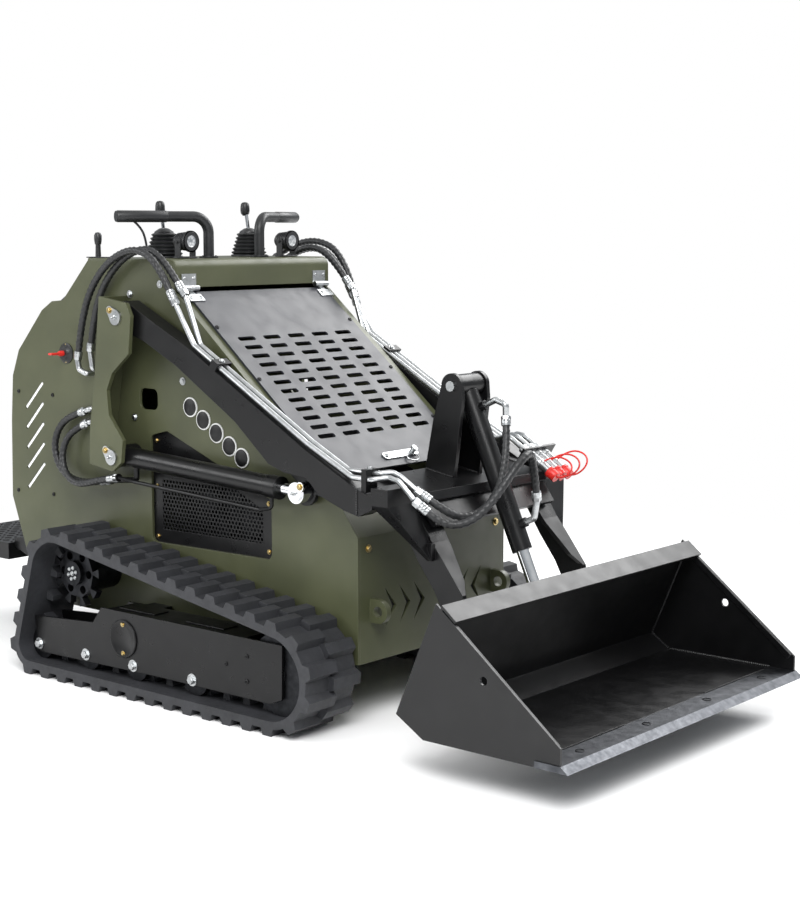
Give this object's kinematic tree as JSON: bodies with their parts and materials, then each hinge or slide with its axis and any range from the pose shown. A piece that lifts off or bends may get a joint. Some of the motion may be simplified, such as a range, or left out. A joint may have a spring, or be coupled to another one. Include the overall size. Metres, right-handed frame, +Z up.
{
  "type": "stand-on compact track loader",
  "caption": "Stand-on compact track loader with rubber tracks, twin lift arms, tilt cylinder, low bucket and rear operator platform.",
  "frame": {"origin": "on the ground, under the middle of the length and width with the bucket as parked", "axes": "+X forward to the bucket, +Y to the left of the machine, +Z up"},
  "size_m": [2.518, 1.056, 1.312],
  "materials": {
    "black_paint": "satin black powder coat",
    "black_plastic": "black plastic and rubber",
    "cast": "dark cast iron",
    "chrome_rod": "hard chrome rod",
    "grey_paint": "grey powder coat",
    "hose_rubber": "black hose cover",
    "olive_paint": "olive green powder coat",
    "red_plastic": "red plastic",
    "track_rubber": "dark grey track rubber",
    "zinc": "zinc-plated steel"
  },
  "bodies": {
    "chassis": {"arm_hoses_left": "hose_rubber", "arm_hoses_right": "hose_rubber", "battery_isolator": "red_plastic", "belly_plate": "olive_paint", "bulkhead_fittings": "zinc", "dash_panel": "olive_paint", "drive_motors": "cast", "drive_sprockets": "black_paint", "engine_block": "cast", "front_panel": "olive_paint", "handlebars": "black_plastic", "hood": "olive_paint", "hood_hinges": "zinc", "idler_wheels": "black_paint", "joysticks": "black_plastic", "lift_hoses_left": "hose_rubber", "lift_hoses_right": "hose_rubber", "pivot_bracket_left": "olive_paint", "pivot_bracket_right": "olive_paint", "pivot_pins": "zinc", "platform_bracket": "black_paint", "rear_panel": "olive_paint", "side_grilles": "black_paint", "side_plate_left": "olive_paint", "side_plate_right": "olive_paint", "thigh_pad": "black_plastic", "throttle_lever": "black_plastic", "track_frame_left": "black_paint", "track_frame_right": "black_paint", "track_left": "track_rubber", "track_right": "track_rubber", "track_rollers": "black_paint", "work_lamps": "black_plastic"},
    "lift_arms": {"lift_arm_right": "black_paint", "lift_arm_left": "black_paint", "cross_member": "black_paint", "tilt_tower": "black_paint", "tower_pin": "zinc", "coupler_caps": "red_plastic", "tilt_hoses": "hose_rubber", "quick_couplers": "zinc", "coupler_bracket": "black_paint", "arm_tubes_right": "zinc", "arm_tubes_left": "zinc"},
    "lift_barrel_right": {"lift_barrel_right": "black_paint"},
    "lift_barrel_left": {"lift_barrel_left": "black_paint"},
    "lift_rod_right": {"lift_rod_right": "chrome_rod"},
    "lift_rod_left": {"lift_rod_left": "chrome_rod"},
    "tilt_barrel": {"tilt_barrel": "black_paint", "tilt_fittings": "zinc"},
    "tilt_rod": {"tilt_rod": "chrome_rod"},
    "bucket": {"bucket": "black_paint", "cutting_edge": "black_paint", "attach_plate": "black_paint", "bucket_pins": "zinc"},
    "guard_plate": {"guard_plate": "grey_paint", "guard_hinges": "zinc", "guard_latch": "zinc"},
    "operator_platform": {"operator_platform": "black_paint"}
  },
  "joints": [
    {"name": "lift", "type": "hinge", "parent": "chassis", "child": "lift_arms", "pos_m": [-0.308, 0, 1.001], "axis": [0, -1, 0], "range_deg": [0, 80], "deforming": ["arm_hoses_right", "arm_hoses_left"]},
    {"name": "lift_barrel_swing_right", "type": "hinge", "parent": "chassis", "child": "lift_barrel_right", "pos_m": [-0.337, 0, 0.622], "axis": [0, -1, 0], "range_deg": [0, 62.59], "deforming": ["lift_hoses_right"]},
    {"name": "lift_barrel_swing_left", "type": "hinge", "parent": "chassis", "child": "lift_barrel_left", "pos_m": [-0.337, 0, 0.622], "axis": [0, -1, 0], "range_deg": [0, 62.59], "deforming": ["lift_hoses_left"]},
    {"name": "lift_rod_slide_right", "type": "slide", "parent": "lift_barrel_right", "child": "lift_rod_right", "axis": [0.9984, 0, -0.0563], "range_m": [0, 0.41723]},
    {"name": "lift_rod_slide_left", "type": "slide", "parent": "lift_barrel_left", "child": "lift_rod_left", "axis": [0.9984, 0, -0.0563], "range_m": [0, 0.41723]},
    {"name": "bucket_tilt", "type": "hinge", "parent": "lift_arms", "child": "bucket", "pos_m": [0.746, 0, 0.195], "axis": [0, 1, 0], "range_deg": [-15, 90]},
    {"name": "tilt_barrel_swing", "type": "hinge", "parent": "lift_arms", "child": "tilt_barrel", "pos_m": [0.571, 0, 0.845], "axis": [0, -1, 0], "range_deg": [-0.3, 1.8], "deforming": ["tilt_hoses"]},
    {"name": "tilt_rod_slide", "type": "slide", "parent": "tilt_barrel", "child": "tilt_rod", "axis": [0.4111, 0, -0.9116], "range_m": [-0.03604, 0.21625]},
    {"name": "guard_lid", "type": "hinge", "parent": "chassis", "child": "guard_plate", "pos_m": [-0.158, 0, 1.078], "axis": [0, -1, 0], "range_deg": [0, 75]},
    {"name": "platform_fold", "type": "hinge", "parent": "chassis", "child": "operator_platform", "pos_m": [-0.925, 0, 0.3], "axis": [0, 1, 0], "range_deg": [0, 85]}
  ],
  "couplings": [
    {"joint": "lift_barrel_swing_right", "follows": "lift", "ratio": 0.7823},
    {"joint": "lift_barrel_swing_left", "follows": "lift", "ratio": 0.7823},
    {"joint": "lift_rod_slide_right", "follows": "lift", "m_per_rad": 0.29881},
    {"joint": "lift_rod_slide_left", "follows": "lift", "m_per_rad": 0.29881},
    {"joint": "tilt_barrel_swing", "follows": "bucket_tilt", "ratio": 0.02},
    {"joint": "tilt_rod_slide", "follows": "bucket_tilt", "m_per_rad": 0.13753}
  ]
}
